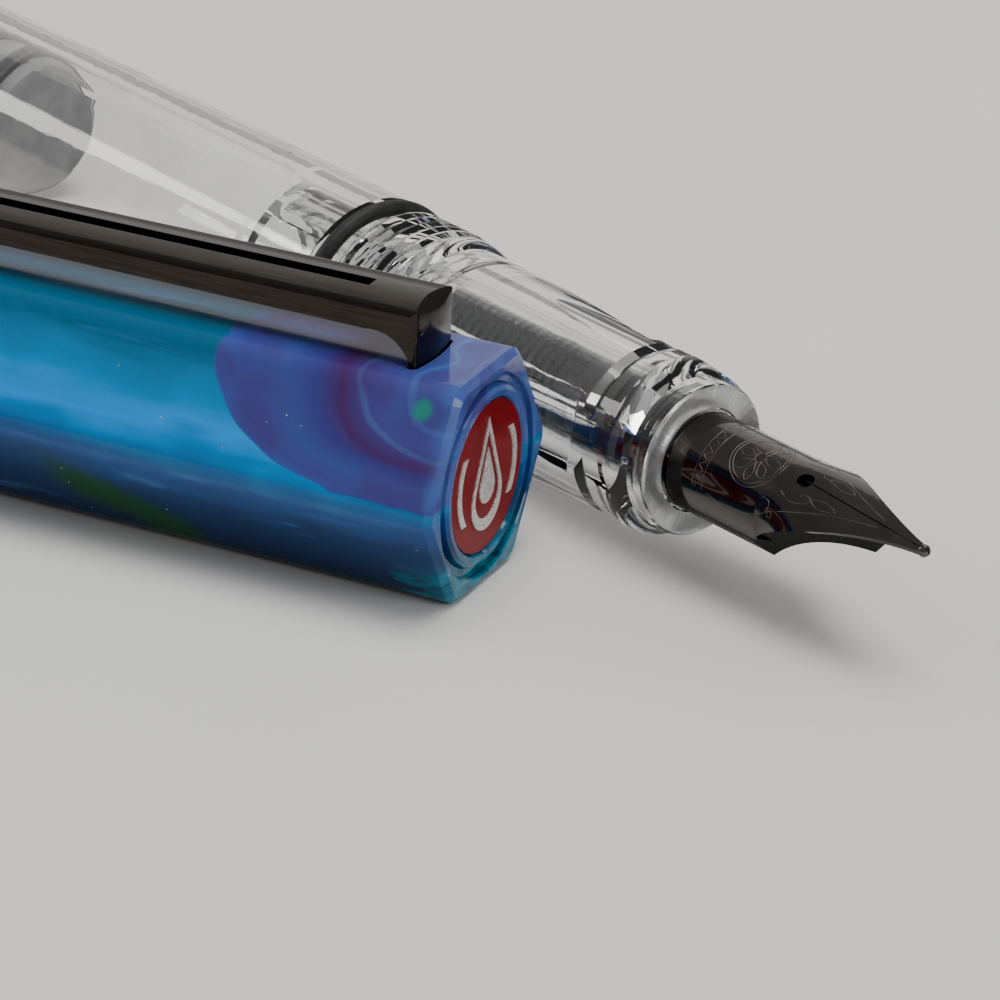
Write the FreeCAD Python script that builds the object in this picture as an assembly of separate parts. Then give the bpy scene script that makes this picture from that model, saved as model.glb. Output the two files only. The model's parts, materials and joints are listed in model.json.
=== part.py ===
import FreeCAD, Part
import math
import os

# Fountain pen, uncapped, with its screw cap lying beside it.
# Every piece is drawn about its own axis along X and then placed:
#   pen pieces:  x = 0 at the front face of the grip, the nib points to +X, nib top to +Z
#   cap pieces:  x = 0 at the closed end, the mouth is at -X, the clip is on the +Z side
# Millimetres throughout.

# ---- Driving dimensions: pen ----
axis_height = 6.35          # pen axis above the table; the O-ring and the trim ring rest on it
nib_roll = 24.5             # the nib and feed are turned this far about the pen axis
grip_roll = 21.0            # and the grip this far
barrel_radius = 6.25
chamber_radius = 5.0        # ink chamber bore
barrel_front = -30.25
barrel_rear = -97.0
collar_radius = 5.47        # flare behind the grip's front ring
grip_rear_radius = 5.62
ring_radius = 4.69          # front ring of the grip
lip_bore = 3.15
housing_seat = 3.6          # bore of the grip that holds the feed housing
housing_radius = 3.55
housing_bore = 3.1
thread_crest = 6.12
thread_root = 5.9
thread_pitch = 0.9
thread_front = -23.9
thread_rear = -28.4
tail_radius = 4.7           # rear spigot of the grip, inside the barrel
tail_rear = -37.0
keyway_width = 2.7          # round-ended keyway along the top of the spigot
keyway_floor = 4.3
ring_seat_radius = 5.3      # step between thread and barrel that carries the O-ring
o_ring_section = 0.5

flat_angle = 4.4            # slope of each finger flat, degrees
flat_front = -6.35
flat_depth_front = 4.78     # distance of a flat from the pen axis at its front
flat_rear = -20.0
collar_flat = 5.03          # distance of the narrow flats that carry on across the collar

# ---- Driving dimensions: nib unit ----
unit_radius = housing_bore - 0.05     # nib and feed
nib_thickness = 0.35
nib_base = -8.0
tipping_radius = 0.38
shoulder_x = 7.6            # the wings end and the nib starts to narrow, flatten and slope
nib_tip = 18.85
tip_crest = 2.02            # height of the nib's crest above the pen axis at its tip
nib_sections = [            # x, radius of the curve, height of the crest, half width
    (shoulder_x, unit_radius, unit_radius, unit_radius),
    (9.7, 3.35, 2.99, 2.86),
    (11.1, 3.9, 2.85, 2.61),
    (14.0, 4.2, 2.54, 1.64),
    (16.8, 4.2, 2.25, 0.76),
    (nib_tip, 4.2, tip_crest, 0.30)]
hole_x = 9.8
hole_radius = 0.52
slit_width = 0.08
feed_scoop = 6.9            # the underside of the feed starts to sweep up here
feed_front = 15.2
feed_rear = -20.8
fin_pitch = 0.7
fin_count = 15
fin_root = 2.0

# ---- Driving dimensions: piston filler ----
head_front = -63.5
head_rear = -70.0
head_radius = 4.6
seal_seat_radius = 4.1
peg_radius = 2.0            # peg of the rod inside the head
rod_rear = -106.0
rod_radius = 3.1
rod_flat = 2.5
spindle_radius = 1.52
flange_radius = 3.2         # flange that holds the spindle in the knob
flange_front = -109.6
flange_rear = -111.4
sleeve_front = -78.0
sleeve_rear = -104.2
neck_radius = 4.6
trim_front = -97.05
trim_rear = -98.25
knob_front = -98.45
knob_rear = -113.7
knob_across_flats = 10.2    # small enough to go into the cap, so the cap can be posted
knob_collar_radius = 5.6
knob_seat_radius = 5.05     # groove of the collar that carries an O-ring
knob_ring_x = -99.75

# ---- Driving dimensions: cap ----
across_flats = 13.6
corner_round = 1.5
cap_length = 56.0
band_length = 2.4
band_bore = 6.42
cap_bore = 5.75
cap_bore_front = -27.4
cap_bore_rear = -45.0
liner_radius = 5.45
cap_thread_root = 6.25
cap_thread_crest = 5.98
cap_thread_front = -49.6
liner_bore = 4.9
liner_mouth = -27.2
wall_front = -3.0           # solid wall behind the finial
wall_rear = -6.0
screw_radius = 1.6
screw_head_radius = 2.6
finial_radius = 5.5
groove_radius = 6.1
groove_depth = 0.45
disc_radius = 4.6
disc_front = -0.13
disc_rear = -0.33

# ---- Driving dimensions: clip ----
clip_width = 4.9
clip_thickness = 1.85
clip_gap = 1.85
clip_slope = 0.007          # the clip's top falls this much for each mm towards its tail
clip_bow = 0.2              # the middle of the top, and of the front, stands out this far
clip_edge = 0.4             # rounding of the long edges and of the front's upright edges
clip_front = -3.55          # front face of the clip's foot
foot_thickness = 0.65
clip_end = -44.5
foot_depth = 2.0
slot_width = 1.0
slot_front = -7.8
slot_rear = -37.0

# ---- Where the pieces lie ----
cap_turn = 23.3             # the cap's axis is turned this far from the pen's
cap_end = FreeCAD.Vector(-4.95, -12.25, across_flats / 2)
row_origin = FreeCAD.Vector(-47.135, -17.48, 0)   # bottom centre of the whole set

V = FreeCAD.Vector
ORIGIN = V(0, 0, 0)
AXIS = V(1, 0, 0)
UP = V(0, 0, 1)
half_hex = across_flats / 2
clip_bottom = half_hex + clip_gap
clip_top = clip_bottom + clip_thickness
pen_pieces = {}
cap_pieces = {}


# ---- Helpers ----
def outline_face(outline):
    """Face in the X-Z plane. A pair of points is an arc through the first to the second."""
    start = V(outline[0][0], 0, outline[0][1])
    here = start
    edges = []
    for entry in list(outline[1:]) + [outline[0]]:
        if isinstance(entry[0], tuple):
            through = V(entry[0][0], 0, entry[0][1])
            there = V(entry[1][0], 0, entry[1][1])
            edges.append(Part.Arc(here, through, there).toShape())
        else:
            there = V(entry[0], 0, entry[1])
            edges.append(Part.makeLine(here, there))
        here = there
    return Part.Face(Part.Wire(edges))


def turned(outline):
    """Solid of revolution about the X axis."""
    return outline_face(outline).revolve(ORIGIN, AXIS, 360)


def tube(front, rear, outer, inner=0.0):
    """Round tube or rod along X, from front back to rear."""
    rod = Part.makeCylinder(outer, front - rear, V(rear, 0, 0), AXIS)
    if inner == 0.0:
        return rod
    margin = 1.0
    return rod.cut(Part.makeCylinder(inner, front - rear + 2 * margin, V(rear - margin, 0, 0), AXIS))


def o_ring(centre_x, inner, section):
    return Part.makeTorus(inner + section, section, V(centre_x, 0, 0), AXIS)


def slab(x0, x1, y0, y1, z0, z1):
    return Part.makeBox(x1 - x0, y1 - y0, z1 - z0, V(x0, y0, z0))


def ridges(front, low, high, pitch, count):
    """Outline points of a row of thread ridges, running back from front."""
    points = []
    for i in range(count):
        x = front - i * pitch
        points += [(x, low), (x - 0.35 * pitch, high), (x - 0.55 * pitch, high), (x - 0.9 * pitch, low)]
    return points


def hexagon_bar(front, rear, flats, rounding):
    """Hexagonal bar along X, flats at top and bottom, long edges rounded."""
    corner = flats / math.sqrt(3)
    points = []
    for i in range(7):
        angle = math.radians(60 * i)
        points.append(V(rear, corner * math.cos(angle), corner * math.sin(angle)))
    bar = Part.Face(Part.makePolygon(points)).extrude(V(front - rear, 0, 0))
    long_edges = [edge for edge in bar.Edges if edge.BoundBox.XLength > 0.5 * (front - rear)]
    return bar.makeFillet(rounding, long_edges)


def bevel_end(bar, end_x, size):
    """Chamfer the outside edges of a bar's end face."""
    end_edges = [edge for edge in bar.Edges if abs(edge.BoundBox.XMin - end_x) < 0.01
                 and abs(edge.BoundBox.XMax - end_x) < 0.01]
    return bar.makeChamfer(size, end_edges)


# ---- Grip and barrel ----
def finger_flat_tool(turn):
    """What is cut away for one finger flat: a sloping plane, then a step out to the collar's flat."""
    slope = math.tan(math.radians(flat_angle))
    depth_rear = flat_depth_front + slope * (flat_front - flat_rear)
    top = 9.0
    outline = [(flat_rear, top), (flat_rear, depth_rear), (flat_front, flat_depth_front),
               ((flat_front + 0.32, flat_depth_front + 0.07), (flat_front + 0.45, collar_flat)),
               (1.0, collar_flat), (1.0, top)]
    tool = outline_face(outline).extrude(V(0, 14, 0))
    tool.translate(V(0, -7, 0))
    tool.rotate(ORIGIN, AXIS, turn)
    return tool


def make_grip_section():
    outline = [(0, lip_bore + 0.15), (0, ring_radius - 0.15), (-0.15, ring_radius), (-1.45, ring_radius),
               ((-1.85, 5.22), (-2.9, collar_radius)), (-4.3, collar_radius - 0.07),
               (-4.85, collar_radius - 0.35), (-5.4, collar_radius - 0.09), (-9.0, collar_radius - 0.05),
               (-22.3, grip_rear_radius), ((-22.75, 5.88), (-23.3, 5.98)), (-23.6, 5.98)]
    outline += ridges(thread_front, thread_root, thread_crest, thread_pitch, 5)
    seat_rear = barrel_front + 0.05
    outline += [(thread_rear, thread_root), (thread_rear, ring_seat_radius), (seat_rear, ring_seat_radius),
                (seat_rear, tail_radius), (tail_rear + 0.3, tail_radius),
                (tail_rear, tail_radius - 0.3), (tail_rear, housing_seat), (-1.5, housing_seat),
                (-1.5, lip_bore), (-0.15, lip_bore)]
    grip = turned(outline)
    half = keyway_width / 2
    round_end = V(tail_rear + 0.9 + half, 0, keyway_floor)
    keyway = slab(round_end.x, barrel_front - 0.15, -half, half, keyway_floor, 6)
    keyway = keyway.fuse(Part.makeCylinder(half, 6, round_end, UP))
    grip = grip.cut(keyway)
    for turn in (60, 180, 300):
        grip = grip.cut(finger_flat_tool(turn))
    return grip


def make_barrel():
    spigot_bore = tail_radius + 0.05
    return turned([(barrel_front, spigot_bore), (barrel_front, barrel_radius - 0.2),
                   (barrel_front - 0.2, barrel_radius), (barrel_rear + 0.2, barrel_radius),
                   (barrel_rear, barrel_radius - 0.2), (barrel_rear, chamber_radius),
                   (tail_rear - 0.7, chamber_radius), (tail_rear - 0.2, spigot_bore)])


def make_feed_housing():
    rear = tail_rear - 0.6
    neck = housing_radius - 0.15
    stop = feed_rear - 0.2
    return turned([(-1.6, housing_bore), (-1.6, neck), (-1.75, housing_radius), (-35.0, housing_radius),
                   (-35.2, neck), (rear + 0.2, neck), (rear, neck - 0.2), (rear, 2.0), (stop, 2.0),
                   (stop, housing_bore)])


pen_pieces["grip_section"] = make_grip_section()
pen_pieces["barrel"] = make_barrel()
pen_pieces["feed_housing"] = make_feed_housing()
pen_pieces["barrel_o_ring"] = o_ring(barrel_front + 0.05 + o_ring_section, ring_seat_radius + 0.05,
                                     o_ring_section)


# ---- Nib unit ----
def nib_core(depth):
    """Solid that fills the nib's curve, less depth: round, then flatter and lower to the tip."""
    hoops = []
    for x, radius, crest, half_width in nib_sections:
        low = -0.35 - depth
        reach = math.sqrt((radius - depth) ** 2 - (low - crest + radius) ** 2)
        arc = Part.Arc(V(x, -reach, low), V(x, 0, crest - depth), V(x, reach, low)).toShape()
        hoops.append(Part.Wire([arc, Part.makeLine(V(x, reach, low), V(x, -reach, low))]))
    straight = tube(shoulder_x, nib_base, unit_radius - depth)
    return straight.fuse(Part.makeLoft(hoops, True))


def nib_shell():
    return nib_core(0.0).cut(nib_core(nib_thickness))


def beyond_edge(side):
    """Everything past the nib's edge on one side, cut square to the sheet."""
    inner = []
    outer = []
    for x, radius, crest, half_width in nib_sections:
        angle = math.asin(half_width / radius)
        outward = V(0, side * math.sin(angle), math.cos(angle))
        centre = V(x, 0, crest - radius)
        inner.append(centre + outward * (radius - 1.2))
        outer.append(centre + outward * (radius + 2))
    curves = []
    for points in (inner, outer):
        curve = Part.BSplineCurve()
        curve.interpolate(points)
        curves.append(curve.toShape())
    return Part.makeRuledSurface(curves[0], curves[1]).extrude(V(0, side * 5, -5))


def nib_blank():
    """Nib before its hole and slit: wings round the feed, then edges drawn in to the tip."""
    blank = nib_shell().common(slab(nib_base, nib_tip, -4, 4, -0.3, 4))
    for side in (-1, 1):
        blank = blank.cut(beyond_edge(side))
    return blank


def make_nib():
    nib = nib_blank().cut(Part.makeCylinder(hole_radius, 5, V(hole_x, 0, 0), UP))
    return nib.cut(slab(hole_x, nib_tip + 1, -slit_width / 2, slit_width / 2, 0, 5))


def make_tipping():
    ball = Part.makeSphere(tipping_radius, V(nib_tip + 0.2, 0, tip_crest - 0.15)).cut(nib_blank())
    halves = ball.cut(slab(nib_tip - 1, nib_tip + 1, -slit_width / 2, slit_width / 2, 0, 5))
    return Part.makeCompound([solid for solid in halves.Solids if solid.Volume > 0.01])


def make_feed():
    """Comb feed: finned inside the grip, smooth at the mouth, swept up under the nib."""
    outline = [(feed_rear, 0), (feed_rear, unit_radius)]
    first_fin = feed_rear + 1.0
    for i in range(fin_count):
        x = first_fin + i * fin_pitch
        outline += [(x, unit_radius), (x, fin_root), (x + 0.5 * fin_pitch, fin_root),
                    (x + 0.5 * fin_pitch, unit_radius)]
    outline += [(feed_front, unit_radius), (feed_front, 0)]
    body = turned(outline)
    above = slab(nib_base - 0.02, nib_tip, -4, 4, -0.32, 4).cut(nib_core(nib_thickness + 0.02))
    body = body.cut(above)
    end = feed_front + 0.1
    below = outline_face([(feed_scoop, -4), (feed_scoop, -unit_radius), ((9.3, -0.65), (end, 0.33)),
                          (end, -4)])
    below = below.extrude(V(0, 8, 0))
    below.translate(V(0, -4, 0))
    body = body.cut(below)
    for side in (-1, 1):
        taper = Part.Face(Part.makePolygon([V(feed_scoop, side * unit_radius, -4),
                                            V(end, side * 0.55, -4), V(end, side * 4, -4),
                                            V(feed_scoop, side * 4, -4),
                                            V(feed_scoop, side * unit_radius, -4)]))
        body = body.cut(taper.extrude(V(0, 0, 8)))
    return body.cut(slab(feed_rear + 0.5, feed_front - 0.6, -0.15, 0.15, 1.2, 4))


pen_pieces["nib"] = make_nib()
pen_pieces["nib_tipping"] = make_tipping()
pen_pieces["feed"] = make_feed()


# ---- Piston filler ----
def keyed(front, rear, radius, flat):
    """Round bar with a flat above and below, so that it can slide but not turn."""
    return tube(front, rear, radius).common(slab(rear, front, -radius, radius, -flat, flat))


def make_piston_head():
    radius = head_radius
    seat = seal_seat_radius
    outline = [(head_front, 0), (head_front, radius - 0.4), (head_front - 0.4, radius)]
    for x in (head_front - 0.7, head_rear + 1.9):
        outline += [(x, radius), (x, seat), (x - 1.2, seat), (x - 1.2, radius)]
    head = turned(outline + [(head_rear, radius), (head_rear, 0)])
    return head.cut(tube(head_rear + 3.0, head_rear - 1.0, peg_radius + 0.02))


def make_piston_seal(front):
    """Lip seal with two sealing edges, 0.02 clear of the chamber."""
    lip = chamber_radius - 0.02
    inner = seal_seat_radius + 0.02
    return turned([(front, inner), (front, lip - 0.05), ((front - 0.2, lip), (front - 0.4, lip - 0.12)),
                   (front - 0.7, lip - 0.12), ((front - 0.9, lip), (front - 1.1, lip - 0.05)),
                   (front - 1.1, inner)])


def make_piston_rod():
    rod = keyed(head_rear, rod_rear, rod_radius, rod_flat)
    peg = tube(head_rear + 2.9, head_rear, peg_radius)
    bore = tube(head_rear - 2.0, rod_rear - 1.0, spindle_radius + 0.08)
    return rod.fuse(peg).removeSplitter().cut(bore)


def make_piston_sleeve():
    """Fixed guide: keyed hole in front, plain bore behind, knob thread on the neck."""
    radius = chamber_radius - 0.05
    root = neck_radius - 0.25
    bore = 3.4
    wall = sleeve_front - 2.2
    outline = [(sleeve_front, 0), (sleeve_front, radius - 0.25), (sleeve_front - 0.25, radius),
               (trim_front + 0.1, radius), (trim_front + 0.1, neck_radius), (trim_rear - 0.2, neck_radius)]
    outline += ridges(trim_rear - 0.4, root, neck_radius, 1.0, 5)
    outline += [(sleeve_rear, root), (sleeve_rear, bore), (wall, bore), (wall, 0)]
    return turned(outline).cut(keyed(sleeve_front + 1, sleeve_front - 4, rod_radius + 0.08, rod_flat + 0.08))


def make_trim_ring():
    radius = axis_height
    return turned([(trim_front, neck_radius + 0.05), (trim_front, radius - 0.2), (trim_front - 0.2, radius),
                   (trim_rear + 0.2, radius), (trim_rear, radius - 0.2), (trim_rear, neck_radius + 0.05)])


def make_drive_spindle():
    """Threaded spindle that turns with the knob and drives the piston rod."""
    front = head_rear - 4.0
    root = spindle_radius - 0.3
    outline = [(front, 0), (front, root), (front - 0.3, spindle_radius)]
    outline += ridges(front - 0.6, root, spindle_radius, 1.0, 24)
    outline += [(front - 26, spindle_radius), (flange_front, spindle_radius), (flange_front, flange_radius),
                (flange_rear, flange_radius), (flange_rear, 0)]
    return turned(outline)


def make_knob():
    """Hexagonal turning knob with a round collar in front that carries an O-ring."""
    hexagon_front = -101.2
    bar = hexagon_bar(hexagon_front, knob_rear, knob_across_flats, corner_round)
    bar = bevel_end(bar, knob_rear, 0.5)
    radius = knob_collar_radius
    groove_front = knob_ring_x + 0.65
    groove_rear = knob_ring_x - 0.65
    collar = turned([(knob_front, 0), (knob_front, radius - 0.15), (knob_front - 0.15, radius),
                     (groove_front, radius), (groove_front, knob_seat_radius),
                     (groove_rear, knob_seat_radius), (groove_rear, radius),
                     (hexagon_front, radius), (hexagon_front, 0)])
    knob = bar.fuse(collar)
    knob = knob.cut(tube(knob_front + 1, flange_front + 0.1, neck_radius + 0.08))
    return knob.cut(tube(flange_front + 1, flange_rear - 0.1, flange_radius + 0.05))


pen_pieces["piston_head"] = make_piston_head()
pen_pieces["piston_seal_front"] = make_piston_seal(head_front - 0.75)
pen_pieces["piston_seal_rear"] = make_piston_seal(head_rear + 1.85)
pen_pieces["piston_rod"] = make_piston_rod()
pen_pieces["piston_sleeve"] = make_piston_sleeve()
pen_pieces["barrel_trim_ring"] = make_trim_ring()
pen_pieces["drive_spindle"] = make_drive_spindle()
pen_pieces["piston_knob"] = make_knob()
pen_pieces["knob_o_ring"] = o_ring(knob_ring_x, knob_seat_radius + 0.05, o_ring_section)


# ---- Cap ----
def bowed_end(back, front, margin=0.0):
    """Face of a strip that ends at front in a bowed edge between two rounded corners."""
    half = clip_width / 2 + margin
    middle = front + margin
    low = middle - clip_bow
    bend = 0.3 * clip_edge
    return outline_face([(-half, back), (-half, low - clip_edge),
                         ((-half + bend, low - bend), (-half + clip_edge, low)),
                         ((0, middle), (half - clip_edge, low)),
                         ((half - bend, low - bend), (half, low - clip_edge)), (half, back)])


def clip_from_above(back, bottom, margin):
    """Block that holds everything above bottom within the clip's outline, seen from above."""
    plan = bowed_end(back, clip_front, margin)
    plan.rotate(ORIGIN, UP, 90)
    plan.rotate(ORIGIN, V(0, 1, 0), 90)
    plan.translate(V(0, 0, bottom))
    return plan.extrude(V(0, 0, 20))


def make_cap_shell():
    rear = band_length - cap_length
    shell = bevel_end(hexagon_bar(0, rear, across_flats, corner_round), 0, 0.4)
    screw_hole = screw_radius + 0.15
    cavity = [(1, 0), (1, groove_radius + 0.1), (0, groove_radius + 0.1), (-0.1, groove_radius),
              (-groove_depth, groove_radius), (-groove_depth, finial_radius + 0.05),
              (wall_front, finial_radius + 0.05), (wall_front, screw_hole), (wall_rear, screw_hole),
              (wall_rear, liner_radius + 0.05), (cap_bore_front, liner_radius + 0.05),
              (cap_bore_front, cap_bore), (cap_bore_rear, cap_bore),
              (cap_bore_rear - 0.8, cap_thread_root)]
    cavity += ridges(cap_thread_front, cap_thread_root, cap_thread_crest, thread_pitch, 4)
    cavity += [(rear - 1, cap_thread_root), (rear - 1, 0)]
    shell = shell.cut(turned(cavity))
    pocket = clip_from_above(clip_front - foot_thickness - 0.12, half_hex - foot_depth - 0.2, 0.1)
    return shell.cut(pocket)


def make_inner_cap():
    """Round liner that closes over the nib."""
    front = wall_rear - 0.05
    wall = wall_rear - 1.6
    hole = screw_radius + 0.05
    return turned([(front, hole), (front, liner_radius), (liner_mouth, liner_radius),
                   (liner_mouth, liner_bore), (wall, liner_bore), (wall, hole)])


def make_cap_band():
    front = band_length - cap_length - 0.03
    band = bevel_end(hexagon_bar(front, -cap_length, across_flats, corner_round), -cap_length, 0.25)
    return band.cut(tube(front + 1, -cap_length - 1, band_bore))


def make_finial():
    seat = disc_rear - 0.02
    rear = wall_front + 0.02
    hollow = screw_head_radius + 0.15
    return turned([(seat, 0), (seat, disc_radius + 0.03), (0, disc_radius + 0.2),
                   (0.05, finial_radius - 0.35), (-0.1, finial_radius - 0.1), (-0.4, finial_radius),
                   (rear, finial_radius), (rear, hollow), (-1.75, hollow), (-1.75, 0)])


def make_finial_screw():
    front = -1.85
    rear = -7.5
    under_head = wall_front + 0.01
    screw = turned([(front, 0), (front, screw_head_radius - 0.3), (front - 0.25, screw_head_radius),
                    (under_head, screw_head_radius), (under_head, screw_radius), (rear + 0.3, screw_radius),
                    (rear, screw_radius - 0.3), (rear, 0)])
    driver_slot = slab(front - 0.45, front + 1, -3, 3, -0.35, 0.35)
    return screw.cut(driver_slot)


def drop_prism(scale, front, rear):
    """Ink drop, point upwards: a round bottom with two tangent sides meeting in a point."""
    radius = 1.95 * scale
    point_up = 3.75 * scale
    low = -1.35 * scale
    lean = math.asin(radius / (point_up - low))
    touch_y = radius * math.cos(lean)
    touch_z = low + radius * math.sin(lean)
    bottom = Part.Arc(V(rear, touch_y, touch_z), V(rear, 0, low - radius), V(rear, -touch_y, touch_z))
    left = Part.makeLine(V(rear, -touch_y, touch_z), V(rear, 0, point_up))
    right = Part.makeLine(V(rear, 0, point_up), V(rear, touch_y, touch_z))
    return Part.Face(Part.Wire([bottom.toShape(), left, right])).extrude(V(front - rear, 0, 0))


def make_emblem_motif():
    """Generic ink-drop sign: an outlined drop with a full drop inside, between two arcs."""
    front = disc_front + 0.09
    rear = disc_front + 0.01
    reach = 2.1
    outline = drop_prism(1.0, front, rear).cut(drop_prism(0.78, front + 1, rear - 1))
    ripple = tube(front, rear, 3.85, 3.35).common(slab(rear, front, -5, 5, -reach, reach))
    return Part.makeCompound([outline, drop_prism(0.5, front, rear)] + ripple.Solids)


def make_clip():
    """Crowned strip with a long slot: foot in the cap, flat run, and a tail that dips to the cap."""
    foot_bottom = half_hex - foot_depth
    rear_of_foot = clip_front - foot_thickness
    tail_bottom = half_hex + 0.12
    outline = [(clip_front + 0.1, foot_bottom), (clip_front + 0.1, clip_top - 1.1),
               ((clip_front - 0.16, clip_top - 0.48), (clip_front - 0.7, clip_top)),
               (clip_front - 1.3, clip_top + 0.5), (-39.0, clip_top + 0.5), (-39.0, clip_top - 0.2),
               ((-43.2, clip_top - 0.85), (clip_end, clip_top - 2.25)),
               ((clip_end + 0.3, tail_bottom + 0.35), (clip_end + 1.2, tail_bottom)),
               ((clip_end + 3.2, tail_bottom + 0.9), (clip_end + 6.0, clip_bottom)),
               (rear_of_foot - 2.8, clip_bottom),
               ((rear_of_foot - 0.8, clip_bottom - 0.45), (rear_of_foot, clip_bottom - 1.5)),
               (rear_of_foot, foot_bottom)]
    strip = outline_face(outline).extrude(V(0, clip_width + 1, 0))
    strip.translate(V(0, -(clip_width + 1) / 2, 0))
    seen_along = bowed_end(0, clip_top)
    seen_along.rotate(ORIGIN, UP, 90)
    seen_along.translate(V(-50, 0, -clip_slope * (50 + clip_front)))
    clip = strip.common(seen_along.extrude(V(60, 0, 60 * clip_slope)))
    clip = clip.common(clip_from_above(-50, 0, 0.0)).removeSplitter()
    slot = slab(slot_rear, slot_front, -slot_width / 2, slot_width / 2, half_hex, clip_top + 1)
    return clip.cut(slot)


cap_pieces["cap_shell"] = make_cap_shell()
cap_pieces["inner_cap"] = make_inner_cap()
cap_pieces["cap_band"] = make_cap_band()
cap_pieces["finial"] = make_finial()
cap_pieces["finial_screw"] = make_finial_screw()
cap_pieces["emblem_disc"] = tube(disc_front, disc_rear, disc_radius)
cap_pieces["emblem_motif"] = make_emblem_motif()
cap_pieces["clip"] = make_clip()


# ---- Place and write ----
rolls = {"grip_section": grip_roll, "barrel": grip_roll, "feed_housing": grip_roll,
         "nib": nib_roll, "nib_tipping": nib_roll, "feed": nib_roll}
os.makedirs("parts", exist_ok=True)
for name, shape in pen_pieces.items():
    shape.rotate(ORIGIN, AXIS, rolls.get(name, 0.0))
    shape.translate(V(0, 0, axis_height) - row_origin)
    shape.exportStep("parts/" + name + ".step")
for name, shape in cap_pieces.items():
    shape.rotate(ORIGIN, UP, cap_turn)
    shape.translate(cap_end - row_origin)
    shape.exportStep("parts/" + name + ".step")

whole = Part.makeCompound(list(pen_pieces.values()) + list(cap_pieces.values()))
box = whole.optimalBoundingBox()
print("size", round(box.XLength, 2), round(box.YLength, 2), round(box.ZLength, 2))
print("centre", round(box.Center.x, 3), round(box.Center.y, 3), "lowest", round(box.ZMin, 4))
for name, shape in list(pen_pieces.items()) + list(cap_pieces.items()):
    print(name, len(shape.Solids), "solid", round(shape.Volume, 2), "mm3", "valid", shape.isValid())
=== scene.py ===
import json
import math

import bpy
from mathutils import Matrix, Vector
from mathutils.bvhtree import BVHTree


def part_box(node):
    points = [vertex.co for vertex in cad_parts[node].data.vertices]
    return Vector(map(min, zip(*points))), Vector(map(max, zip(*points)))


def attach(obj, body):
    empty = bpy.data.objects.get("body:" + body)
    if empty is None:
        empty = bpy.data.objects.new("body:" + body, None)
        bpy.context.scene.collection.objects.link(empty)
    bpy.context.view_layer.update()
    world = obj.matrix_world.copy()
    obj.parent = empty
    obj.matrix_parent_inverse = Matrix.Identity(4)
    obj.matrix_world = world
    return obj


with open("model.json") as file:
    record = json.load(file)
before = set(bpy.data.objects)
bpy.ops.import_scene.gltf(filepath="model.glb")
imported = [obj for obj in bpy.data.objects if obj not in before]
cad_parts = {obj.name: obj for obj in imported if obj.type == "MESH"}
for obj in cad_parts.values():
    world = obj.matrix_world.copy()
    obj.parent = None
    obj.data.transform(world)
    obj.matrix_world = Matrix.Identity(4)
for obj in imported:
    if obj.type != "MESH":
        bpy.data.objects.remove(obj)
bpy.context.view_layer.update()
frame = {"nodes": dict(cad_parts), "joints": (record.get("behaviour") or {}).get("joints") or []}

MM = 0.001


# ---- Places taken from the frame ----
def joint(name):
    for entry in frame["joints"]:
        if entry["name"] == name:
            return entry
    raise KeyError(name)


pen_point = Vector(joint("knob_turn")["pos_m"])          # a point on the pen's axis
ring_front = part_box("grip_section")[1].x                 # front face of the grip: x = 0 for the pen
closed_way = Vector(joint("cap_twist")["axis"])          # along the cap, towards its closed end
cap_point = Vector(joint("cap_twist")["pos_m"])          # a point on the cap's axis
CAP_POINT_TO_END = 28 * MM
cap_end = cap_point + closed_way * CAP_POINT_TO_END      # centre of the cap's closed end
cap_angle = math.atan2(closed_way.y, closed_way.x)

NIB_ROLL = math.radians(24.5)
KNOB_SWIRL_X = -88          # along the pen, in mm: start of the swirls that the knob shows
to_metres = Matrix.Scale(MM, 4)
pen_place = Matrix.Translation((ring_front, pen_point.y, pen_point.z)) @ to_metres
nib_place = pen_place @ Matrix.Rotation(NIB_ROLL, 4, "X")
knob_place = pen_place @ Matrix.Translation((KNOB_SWIRL_X, 0, 0))
cap_place = Matrix.Translation(cap_end) @ Matrix.Rotation(cap_angle, 4, "Z") @ to_metres


# ---- Camera, floor and lights ----
def make_camera():
    azimuth = math.radians(48.31)
    elevation = math.radians(24.90)
    roll = math.radians(2.325)
    distance = 358.72 * MM
    target = Vector((ring_front - 13.07 * MM, pen_point.y - 4.06 * MM, 0))
    forward = Vector((-math.sin(azimuth) * math.cos(elevation),
                      math.cos(azimuth) * math.cos(elevation), -math.sin(elevation)))
    level_right = Vector((math.cos(azimuth), math.sin(azimuth), 0))
    level_up = level_right.cross(forward)
    right = math.cos(roll) * level_right + math.sin(roll) * level_up
    up = right.cross(forward)
    data = bpy.data.cameras.new("camera")
    data.lens = 216
    data.sensor_width = 36
    data.clip_start = 0.01
    data.clip_end = 20
    camera = bpy.data.objects.new("camera", data)
    turn = Matrix((right, up, -forward)).transposed()
    camera.matrix_world = Matrix.Translation(target - forward * distance) @ turn.to_4x4()
    bpy.context.scene.collection.objects.link(camera)
    bpy.context.scene.camera = camera


def make_softbox(name, place, aim, size, power, colour):
    """Area light of size (width, height) in metres, turned towards aim."""
    data = bpy.data.lights.new(name, "AREA")
    data.shape = "RECTANGLE"
    data.size, data.size_y = size
    data.energy = power
    data.color = colour
    light = bpy.data.objects.new(name, data)
    away = Vector(place) - Vector(aim)
    light.location = place
    light.rotation_euler = away.to_track_quat("Z", "Y").to_euler()
    bpy.context.scene.collection.objects.link(light)


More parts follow.
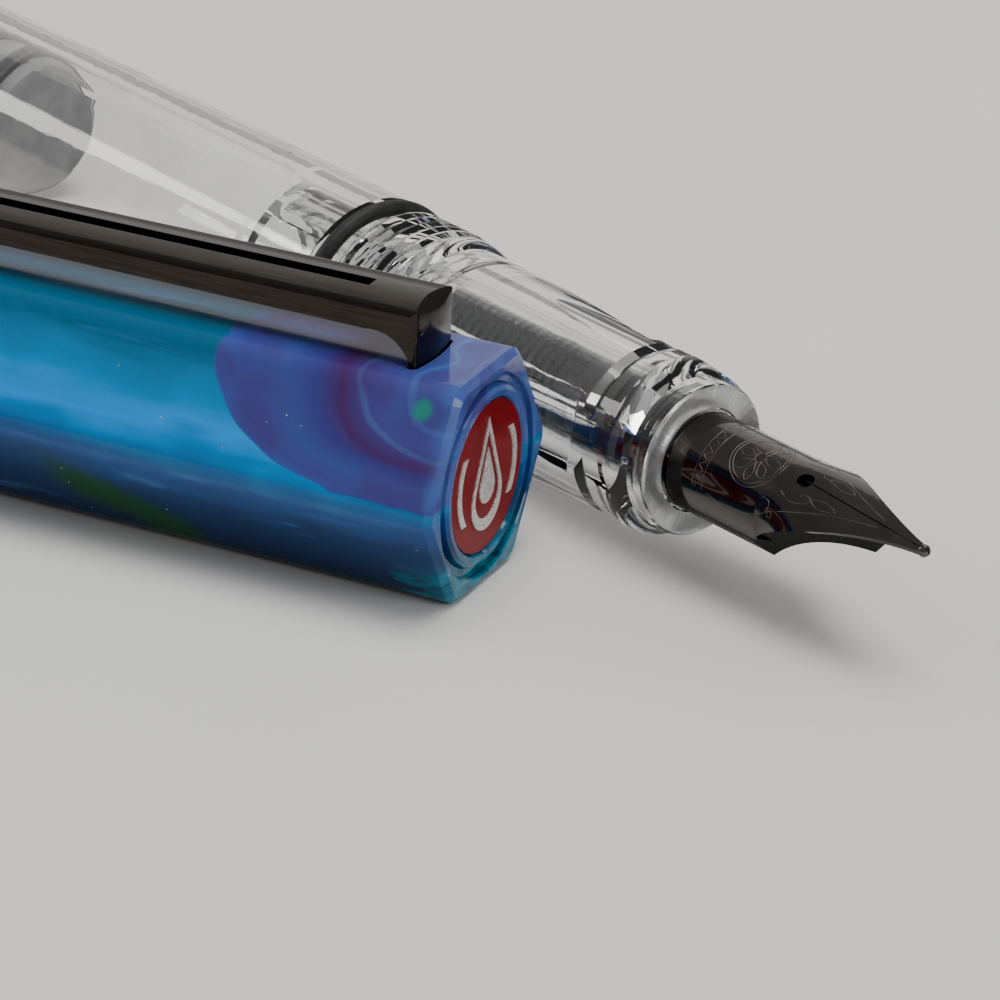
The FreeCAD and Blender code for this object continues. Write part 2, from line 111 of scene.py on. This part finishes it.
def make_lights():
    middle = (0, 0, 0.006)
    make_softbox("back_box", (-0.70, 0.62, 0.46), middle, (1.00, 0.55), 1.05, (1.0, 0.96, 0.91))
    make_softbox("top_box", (0.05, 0.10, 1.10), middle, (0.80, 0.60), 11.0, (1.0, 0.98, 0.96))
    make_softbox("left_box", (-0.95, -0.45, 0.40), middle, (0.40, 0.50), 4.0, (1.0, 0.98, 0.95))
    make_softbox("right_box", (0.85, 0.20, 0.45), middle, (0.30, 0.45), 2.5, (1.0, 0.98, 0.95))
    world = bpy.data.worlds.new("world")
    bpy.context.scene.world = world
    world.use_nodes = True
    tree = world.node_tree
    direction = tree.nodes.new("ShaderNodeTexCoord")
    split = tree.nodes.new("ShaderNodeSeparateXYZ")
    shade = tree.nodes.new("ShaderNodeValToRGB")
    tree.links.new(direction.outputs["Generated"], split.inputs[0])
    tree.links.new(split.outputs["Z"], shade.inputs[0])
    tree.links.new(shade.outputs[0], tree.nodes["Background"].inputs["Color"])
    shade.color_ramp.elements[0].color = (0.27, 0.265, 0.26, 1)
    shade.color_ramp.elements[1].color = (0.42, 0.42, 0.43, 1)
    shade.color_ramp.elements[1].position = 0.75


# ---- Materials ----
class Field:
    """A number that varies over a surface: a node output that can be used in sums."""

    def __init__(self, paint, socket):
        self.paint = paint
        self.socket = socket

    def math(self, operation, *others):
        node = self.paint.tree.nodes.new("ShaderNodeMath")
        node.operation = operation
        for slot, value in enumerate((self,) + others):
            self.paint.feed(node.inputs[slot], value)
        return Field(self.paint, node.outputs[0])

    def __add__(self, other):
        return self.math("ADD", other)

    def __sub__(self, other):
        return self.math("SUBTRACT", other)

    def __mul__(self, other):
        return self.math("MULTIPLY", other)

    def __truediv__(self, other):
        return self.math("DIVIDE", other)

    def power(self, exponent):
        return self.math("MAXIMUM", 0.0).math("POWER", exponent)

    def step(self, low, high):
        """0 below low, 1 above high, smooth between; falls instead if low is above high."""
        node = self.paint.tree.nodes.new("ShaderNodeMapRange")
        node.interpolation_type = "SMOOTHSTEP"
        start, end = sorted((low, high))
        self.paint.feed(node.inputs["Value"], self)
        node.inputs["From Min"].default_value = start
        node.inputs["From Max"].default_value = end
        node.inputs["To Min"].default_value = 0.0 if low < high else 1.0
        node.inputs["To Max"].default_value = 1.0 if low < high else 0.0
        return Field(self.paint, node.outputs["Result"])

    def band(self, centre, half_width, softness):
        """1 near centre, 0 away from it."""
        return (self - centre).math("ABSOLUTE").step(half_width + softness, half_width)


class Paint:
    """Builds one material around its Principled shader, in the millimetres of a local frame."""

    def __init__(self, name, place, **constants):
        self.material = bpy.data.materials.new(name)
        self.material.use_nodes = True
        self.tree = self.material.node_tree
        self.shader = self.tree.nodes["Principled BSDF"]
        self.point = self.local_point(place)
        split = self.tree.nodes.new("ShaderNodeSeparateXYZ")
        self.feed(split.inputs[0], self.point)
        self.x, self.y, self.z = (Field(self, split.outputs[axis]) for axis in "XYZ")
        for socket, value in constants.items():
            self.shader.inputs[socket.replace("_", " ")].default_value = value

    def local_point(self, place):
        inverse = place.inverted()
        source = self.tree.nodes.new("ShaderNodeTexCoord")
        mapping = self.tree.nodes.new("ShaderNodeMapping")
        mapping.inputs["Location"].default_value = inverse.to_translation()
        mapping.inputs["Rotation"].default_value = inverse.to_euler()
        mapping.inputs["Scale"].default_value = inverse.to_scale()
        self.tree.links.new(source.outputs["Object"], mapping.inputs["Vector"])
        return mapping.outputs["Vector"]

    def feed(self, socket, value):
        if isinstance(value, Field):
            self.tree.links.new(value.socket, socket)
        elif isinstance(value, bpy.types.NodeSocket):
            self.tree.links.new(value, socket)
        else:
            socket.default_value = value

    def noise(self, scale, detail, point=None, warp=0.0):
        node = self.tree.nodes.new("ShaderNodeTexNoise")
        node.inputs["Scale"].default_value = scale
        node.inputs["Detail"].default_value = detail
        node.inputs["Distortion"].default_value = warp
        self.feed(node.inputs["Vector"], point or self.point)
        return Field(self, node.outputs[0])

    def noise_on_line(self, value):
        """Noise that varies with one number only."""
        node = self.tree.nodes.new("ShaderNodeTexNoise")
        node.noise_dimensions = "1D"
        node.inputs["Scale"].default_value = 1.0
        node.inputs["Detail"].default_value = 4.0
        self.feed(node.inputs["W"], value)
        return Field(self, node.outputs[0])

    def cells(self, scale):
        """Distance from the nearest of many scattered points, and a random number for each."""
        node = self.tree.nodes.new("ShaderNodeTexVoronoi")
        node.inputs["Scale"].default_value = scale
        self.feed(node.inputs["Vector"], self.point)
        split = self.tree.nodes.new("ShaderNodeSeparateXYZ")
        self.feed(split.inputs[0], node.outputs["Color"])
        return Field(self, node.outputs["Distance"]), Field(self, split.outputs["X"])

    def stretched(self, along, across, up):
        """The local point with each direction scaled, for grain that runs one way."""
        node = self.tree.nodes.new("ShaderNodeVectorMath")
        node.operation = "MULTIPLY"
        self.feed(node.inputs[0], self.point)
        node.inputs[1].default_value = (along, across, up)
        return node.outputs[0]

    def mix(self, first, second, amount):
        node = self.tree.nodes.new("ShaderNodeMix")
        node.data_type = "RGBA"
        self.feed(node.inputs["Factor"], amount)
        for slot, colour in ((6, first), (7, second)):
            self.feed(node.inputs[slot], (*colour, 1) if isinstance(colour, tuple) else colour)
        return node.outputs[2]

    def ramp(self, value, stops):
        node = self.tree.nodes.new("ShaderNodeValToRGB")
        elements = node.color_ramp.elements
        while len(elements) < len(stops):
            elements.new(0.5)
        for element, (position, colour) in zip(elements, stops):
            element.position = position
            element.color = (*colour, 1)
        self.feed(node.inputs[0], value)
        return node.outputs[0]

    def bump(self, height, distance):
        """Raises the surface by up to distance millimetres."""
        node = self.tree.nodes.new("ShaderNodeBump")
        node.inputs["Strength"].default_value = 1.0
        node.inputs["Distance"].default_value = distance * MM
        self.feed(node.inputs["Height"], height)
        self.feed(self.shader.inputs["Normal"], node.outputs[0])

    def colour(self, value):
        self.feed(self.shader.inputs["Base Color"], value)

    def roughness(self, low, high, field):
        self.feed(self.shader.inputs["Roughness"], field * (high - low) + low)

    def let_light_through(self, share):
        """Lets shadow rays pass, so that a clear piece doesn't cast a solid shadow."""
        nodes = self.tree.nodes
        path = nodes.new("ShaderNodeLightPath")
        clear = nodes.new("ShaderNodeBsdfTransparent")
        blend = nodes.new("ShaderNodeMixShader")
        amount = Field(self, path.outputs["Is Shadow Ray"]) * share
        self.feed(blend.inputs[0], amount)
        self.tree.links.new(self.shader.outputs[0], blend.inputs[1])
        self.tree.links.new(clear.outputs[0], blend.inputs[2])
        self.tree.links.new(blend.outputs[0], nodes["Material Output"].inputs["Surface"])


# The resin's colours. The water and cloud ramps give each colour its place between 0 and 1. The water
# ramp runs from bottom to top round the axis. Its dark lower stops are partly painted shade on the
# lower facets, laid over the resin's own blue banding.
WATER_AND_SHADE = [(0.03, (0.001, 0.015, 0.060)), (0.28, (0.001, 0.030, 0.12)), (0.44, (0.001, 0.066, 0.26)),
         (0.54, (0.002, 0.16, 0.42)), (0.63, (0.002, 0.27, 0.76)), (0.74, (0.003, 0.21, 0.48)),
         (0.92, (0.002, 0.10, 0.20))]
PLUM = (0.052, 0.014, 0.105)
VIOLET = (0.034, 0.034, 0.20)
PERIWINKLE = (0.040, 0.070, 0.28)
CLOUD = [(0.0, (0.045, 0.080, 0.29)), (0.26, PERIWINKLE), (0.42, (0.046, 0.050, 0.24)),
         (0.56, PLUM), (0.64, VIOLET), (0.76, (0.038, 0.066, 0.27)), (0.92, (0.042, 0.050, 0.24)),
         (1.0, (0.034, 0.080, 0.33))]
MIST = (0.055, 0.13, 0.39)
PALE_BLUE = (0.09, 0.32, 0.70)
DARK_GREEN = (0.003, 0.060, 0.018)
SPOT_GREEN = (0.003, 0.24, 0.15)
TEAL = (0.004, 0.23, 0.33)

# Where the resin's pattern lies, in the millimetres of the place it's given. On the cap, x = 0 is the
# closed end and z = 0 the axis.
CLOUD_START_X = 2.0
CLOUD_LENGTH = 17.6         # from CLOUD_START_X, away from the closed end
CLOUD_TOP_Z = 8.0
CLOUD_DEPTH = 7.8           # from CLOUD_TOP_Z, downwards
WATER_HEIGHT = 14           # the ramp of the water runs over this height, round the axis
SPOT_X = -2.1
SPOT_Z = 5.3
FAR_CLOUD_X = -30           # patches of cloud begin behind this and are full 6 mm further on


def swirl_resin(name, place):
    """Marbled resin: azure water with a violet cloud of nested curves over the closed end. The water
    is darker towards the bottom, partly as painted shade.
    """
    paint = Paint(name, place, Specular_IOR_Level=0.3)
    slow = paint.noise(0.09, 1.0)
    drift = paint.noise(0.22, 1.0, warp=0.4)
    streaks = paint.noise(1.0, 3.0, paint.stretched(0.07, 0.45, 0.45), warp=0.8)
    wisps = paint.noise(1.0, 2.0, paint.stretched(0.3, 0.8, 0.8), warp=1.5)
    x = paint.x + (slow - 0.5) * 3.0
    z = paint.z + (drift - 0.5) * 1.8

    # Water colour by height: darker towards the bottom, which is partly painted shade on the lower
    # facets over the resin's own banding.
    height = (z + (streaks - 0.5) * 3.2) * (1 / WATER_HEIGHT) + 0.5
    water = paint.ramp(height, WATER_AND_SHADE)
    water = paint.mix(water, PALE_BLUE, streaks.step(0.60, 0.78) * 0.35)
    leaves = (x * 0.35 + z + 12.0).band(0.0, 0.4, 1.6) * x.band(-21, 3, 3)
    water = paint.mix(water, DARK_GREEN, leaves)
    foam = (paint.x + wisps * 12.0).step(1.5, 8.0) * paint.z.step(-2.8, -5.6)
    water = paint.mix(water, TEAL, foam * 0.8)

    behind = (x * -1.0 + CLOUD_START_X) / CLOUD_LENGTH
    below = (z * -1.0 + CLOUD_TOP_Z) / CLOUD_DEPTH
    level = behind.power(2.4) + below.power(4.0)
    level = level.power(0.42) + (drift - 0.5) * 0.10
    veil = paint.ramp(level, CLOUD)
    threads = (level * 34.0 + drift * 9.0).math("SINE").step(0.60, 1.0)
    veil = paint.mix(veil, PALE_BLUE, threads * level.step(0.66, 0.40) * 0.16)
    veil = paint.mix(veil, PLUM, drift.step(0.50, 0.38) * 0.35)
    veil = paint.mix(veil, MIST, paint.x.step(-1.6, -0.3) * drift.step(0.35, 0.62) * 0.7)
    resin = paint.mix(water, veil, level.step(1.0, 0.985))
    far_cloud = (paint.noise(0.075, 2.0, warp=1.2) - 0.5 + x * -0.004).step(0.17, 0.20)
    resin = paint.mix(resin, veil, far_cloud * paint.x.step(FAR_CLOUD_X, FAR_CLOUD_X - 6))

    along = paint.x - SPOT_X
    up = z - SPOT_Z
    spot = along * along + up * up
    resin = paint.mix(resin, SPOT_GREEN, spot.step(0.6, 0.05) * paint.y.step(0, -2) * 0.75)
    near, pick = paint.cells(0.9)
    specks = near.step(0.05, 0.03) * pick.step(0.7, 0.72)
    paint.colour(paint.mix(resin, (0.45, 0.6, 0.7), specks))
    paint.roughness(0.05, 0.12, drift)
    return paint.material


def clear_acrylic(name, place, frosted_front=None):
    paint = Paint(name, place, Transmission_Weight=1.0, IOR=1.49)
    haze = paint.noise(0.25, 3.0)
    scratches = paint.noise(1.0, 4.0, paint.stretched(0.15, 6.0, 6.0))
    paint.colour(paint.mix((0.96, 0.965, 0.96), (0.90, 0.905, 0.90), haze.step(0.45, 0.8)))
    gloss = scratches.step(0.60, 0.85) * 0.05 + 0.012
    if frosted_front is not None:
        face = paint.x.step(frosted_front - 0.05, frosted_front)
        angle = paint.y.math("ARCTAN2", paint.z)
        rays = paint.noise_on_line(angle * 26.0)
        paint.bump(rays * face, 0.05)
        gloss = gloss + face * (rays * 0.35 + 0.22)
    else:
        paint.bump(haze, 0.02)
    paint.feed(paint.shader.inputs["Roughness"], gloss)
    paint.let_light_through(0.9)
    return paint.material


def moulded_plastic(name, place, dark, light, low, high, **constants):
    paint = Paint(name, place, **constants)
    cloud = paint.noise(0.7, 4.0)
    paint.colour(paint.mix(dark, light, cloud.step(0.3, 0.7)))
    paint.roughness(low, high, paint.noise(3.0, 3.0))
    paint.bump(paint.noise(9.0, 2.0), 0.01)
    return paint.material


def rubber(name, place, dark, light):
    paint = Paint(name, place, Specular_IOR_Level=0.25)
    paint.colour(paint.mix(dark, light, paint.noise(2.0, 4.0).step(0.35, 0.75)))
    paint.roughness(0.42, 0.6, paint.noise(4.0, 3.0))
    paint.bump(paint.noise(14.0, 2.0), 0.015)
    return paint.material


def polished_metal(name, place, dark, light, low, high, grain):
    """Metal with a faint drawn grain along the piece."""
    paint = Paint(name, place, Metallic=1.0)
    lines = paint.noise(1.0, 4.0, paint.stretched(*grain))
    paint.colour(paint.mix(dark, light, lines.step(0.3, 0.75)))
    paint.roughness(low, high, lines)
    paint.bump(lines, 0.004)
    return paint.material


def black_coating(name, place):
    """Glossy black coating over steel."""
    paint = Paint(name, place, Metallic=1.0, Coat_Weight=0.6, Coat_Roughness=0.02, Coat_IOR=1.6)
    cloud = paint.noise(0.6, 3.0)
    paint.colour(paint.mix((0.028, 0.022, 0.018), (0.046, 0.036, 0.029), cloud.step(0.3, 0.8)))
    paint.roughness(0.10, 0.20, paint.noise(2.5, 4.0))
    return paint.material


def red_enamel(name, place):
    paint = Paint(name, place, Specular_IOR_Level=0.12)
    cloud = paint.noise(0.5, 4.0)
    near, pick = paint.cells(22.0)
    flakes = near.step(0.5, 0.1) * pick.step(0.7, 0.95)
    base = paint.mix((0.15, 0.0, 0.003), (0.19, 0.001, 0.005), cloud.step(0.3, 0.7))
    paint.colour(paint.mix(base, (0.32, 0.01, 0.014), flakes * 0.5))
    paint.roughness(0.26, 0.34, cloud)
    return paint.material


def silver_print(name, place):
    """Silver print with a glitter of small flakes."""
    paint = Paint(name, place, Metallic=0.75)
    near, pick = paint.cells(9.0)
    paint.colour(paint.mix((0.52, 0.48, 0.46), (0.93, 0.89, 0.86), pick))
    paint.roughness(0.30, 0.55, pick)
    paint.bump(pick + near, 0.03)
    return paint.material


def paint_nodes():
    # Grains are (along, across, up). A finish is a dark and a light colour, then the lowest and the
    # highest roughness and the grain, where its function takes them.
    along = (0.3, 5.0, 5.0)
    around = (5.0, 0.4, 0.4)
    gunmetal = ((0.030, 0.025, 0.021), (0.046, 0.038, 0.032), 0.10, 0.17)
    steel = ((0.42, 0.42, 0.42), (0.55, 0.55, 0.54), 0.22, 0.35, along)
    alloy = ((0.09, 0.085, 0.08), (0.14, 0.13, 0.12), 0.18, 0.3, along)
    frosted = ((0.62, 0.63, 0.63), (0.7, 0.71, 0.71), 0.35, 0.5)
    smoke = ((0.16, 0.16, 0.165), (0.22, 0.22, 0.225), 0.18, 0.3)
    comb_black = ((0.004, 0.004, 0.004), (0.008, 0.008, 0.008), 0.22, 0.34)
    black = ((0.010, 0.010, 0.010), (0.022, 0.021, 0.020))
    charcoal = ((0.018, 0.018, 0.018), (0.03, 0.03, 0.03))
    finishes = {
        "barrel": clear_acrylic("barrel_acrylic", pen_place),
        "grip_section": clear_acrylic("grip_acrylic", pen_place, frosted_front=-0.02),
        "feed_housing": clear_acrylic("housing_acrylic", pen_place),
        "inner_cap": moulded_plastic("liner_plastic", cap_place, *frosted),
        "barrel_o_ring": rubber("ring_rubber", pen_place, *black),
        "knob_o_ring": rubber("ring_rubber_rear", pen_place, *black),
        "piston_seal_front": rubber("seal_rubber", pen_place, *charcoal),
        "barrel_trim_ring": polished_metal("trim_metal", pen_place, *gunmetal, around),
        "cap_band": polished_metal("band_metal", cap_place, *gunmetal, around),
        "clip": polished_metal("clip_metal", cap_place, *gunmetal, along),
        "drive_spindle": polished_metal("spindle_steel", pen_place, *steel),
        "finial_screw": polished_metal("screw_steel", cap_place, *steel),
        "piston_rod": moulded_plastic("rod_plastic", pen_place, *smoke, Transmission_Weight=0.25),
        "nib": black_coating("nib_black", nib_place),
        "nib_tipping": polished_metal("tipping_alloy", nib_place, *alloy),
        "feed": moulded_plastic("feed_plastic", nib_place, *comb_black, Specular_IOR_Level=0.12),
        "piston_knob": swirl_resin("knob_resin", knob_place),
        "cap_shell": swirl_resin("cap_resin", cap_place),
        "emblem_disc": red_enamel("disc_enamel", cap_place),
        "emblem_motif": silver_print("motif_silver", cap_place),
    }
    finishes["finial"] = finishes["cap_shell"]
    finishes["piston_seal_rear"] = finishes["piston_seal_front"]
    finishes["piston_sleeve"] = finishes["piston_rod"]
    finishes["piston_head"] = finishes["piston_rod"]
    for node, material in finishes.items():
        for slot in frame["nodes"][node].material_slots:
            slot.material = material


def make_floor():
    mesh = bpy.data.meshes.new("floor")
    half = 3.0
    corners = [(-half, -half, 0), (half, -half, 0), (half, half, 0), (-half, half, 0)]
    mesh.from_pydata(corners, [], [(0, 1, 2, 3)])
    floor = bpy.data.objects.new("floor", mesh)
    bpy.context.scene.collection.objects.link(floor)
    paint = Paint("floor_paper", cap_place)
    cloud = paint.noise(0.02, 3.0)
    paint.colour(paint.mix((0.62, 0.615, 0.60), (0.68, 0.675, 0.66), cloud))
    paint.roughness(0.55, 0.7, cloud)
    mesh.materials.append(paint.material)


# ---- Engraved lines on the nib ----
def nib_surface():
    """Function that gives the point on the nib's outer face at x, turned by angle from its top."""
    node = frame["nodes"]["nib"]
    corners = [v.co for v in node.data.vertices]
    tree = BVHTree.FromPolygons(corners, [p.vertices for p in node.data.polygons])
    to_axis = nib_place.to_3x3().normalized()

    def at(x, angle):
        outward = to_axis @ Vector((0, math.sin(angle), math.cos(angle)))
        far = nib_place @ Vector((x, 0, 0)) + outward * 10 * MM
        return tree.ray_cast(far, -outward)[0]

    return at


def oval(centre_x, along, across, count=48):
    """Points (x, angle) of an oval on the nib; across is in radians."""
    points = []
    for i in range(count + 1):
        t = 2 * math.pi * i / count
        points.append((centre_x + along * math.cos(t), across * math.sin(t)))
    return points


def curl(points):
    """Smooth line through a few points, by Catmull-Rom."""
    steps = 10
    line = []
    padded = [points[0]] + points + [points[-1]]
    for a, b, c, d in zip(padded, padded[1:], padded[2:], padded[3:]):
        for i in range(steps):
            t = i / steps
            line.append(tuple(0.5 * (2 * q + (r - p) * t + (2 * p - 5 * q + 4 * r - s) * t * t
                                     + (3 * q - p - 3 * r + s) * t ** 3)
                              for p, q, r, s in zip(a, b, c, d)))
    return line + [points[-1]]


def engraving_lines():
    """Generic ornament: crest with a rosette, wave border at the grip, scrolls on each side.

    Points are (x in mm in front of the grip, angle from the nib's top in radians).
    """
    crest_x = 6.1
    heart = 0.35
    petal_length = 1.25
    angle_per_mm = 0.34
    lines = [oval(crest_x, 1.95, 0.66), oval(crest_x, 1.72, 0.58), oval(crest_x, heart, 0.12)]
    petals = 8
    for i in range(petals):
        turn = 2 * math.pi * i / petals
        for bulge in (-0.24, 0.24):
            petal = []
            for j in range(9):
                reach = heart + petal_length * j / 8
                swing = turn + bulge * math.sin(math.pi * j / 8) * 1.2
                across = reach * angle_per_mm * math.sin(swing)
                petal.append((crest_x + reach * math.cos(swing), across))
            lines.append(petal)
    border_x = 2.75
    border_end = 62             # degrees from the nib's top, to each side
    for x in (border_x - 0.4, border_x + 0.4):
        lines.append([(x, math.radians(a)) for a in range(-border_end, border_end + 1, 4)])
    for_wave = range(-border_end, border_end + 1)
    lines.append([(border_x + 0.22 * math.sin(a * 0.55), math.radians(a)) for a in for_wave])
    for side in (-1, 1):
        edge = [(3.6, 1.12), (5.4, 1.18), (7.2, 1.10), (8.35, 0.93), (8.5, 0.72), (7.9, 0.66)]
        sweep = [(9.3, 0.80), (10.6, 0.66), (12.4, 0.46), (14.3, 0.27), (15.8, 0.13)]
        leaf = [(10.9, 0.30), (11.7, 0.42), (12.9, 0.33), (12.1, 0.22), (10.9, 0.30)]
        tendril = [(8.9, 0.42), (9.8, 0.52), (10.8, 0.45), (11.0, 0.32), (10.5, 0.28), (10.3, 0.36)]
        for shape in (edge, sweep, leaf, tendril):
            lines.append([(x, side * angle) for x, angle in curl(shape)])
        eye = oval(8.75, 0.2, 0.065 * side, count=16)
        lines.append([(x, angle + side * 0.93) for x, angle in eye])
    return lines


def make_engraving(material):
    at = nib_surface()
    curve = bpy.data.curves.new("nib_engraving", "CURVE")
    curve.dimensions = "3D"
    curve.bevel_depth = 0.022 * MM
    curve.bevel_resolution = 1
    for line in engraving_lines():
        points = [at(x, angle) for x, angle in line]
        points = [p for p in points if p is not None]
        spline = curve.splines.new("POLY")
        spline.points.add(len(points) - 1)
        for point, place in zip(spline.points, points):
            point.co = (*place, 1)
    engraving = bpy.data.objects.new("nib_engraving", curve)
    bpy.context.scene.collection.objects.link(engraving)
    curve.materials.append(material)
    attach(engraving, "nib_unit")


def engraved_edge(name, place):
    """The cut edges of the engraving: bare and duller than the coating round them."""
    paint = Paint(name, place, Metallic=1.0)
    cloud = paint.noise(1.5, 3.0)
    paint.colour(paint.mix((0.10, 0.088, 0.078), (0.18, 0.16, 0.145), cloud.step(0.3, 0.7)))
    paint.roughness(0.25, 0.4, cloud)
    return paint.material


make_camera()
make_lights()
make_floor()
paint_nodes()
make_engraving(engraved_edge("engraving_edge", nib_place))
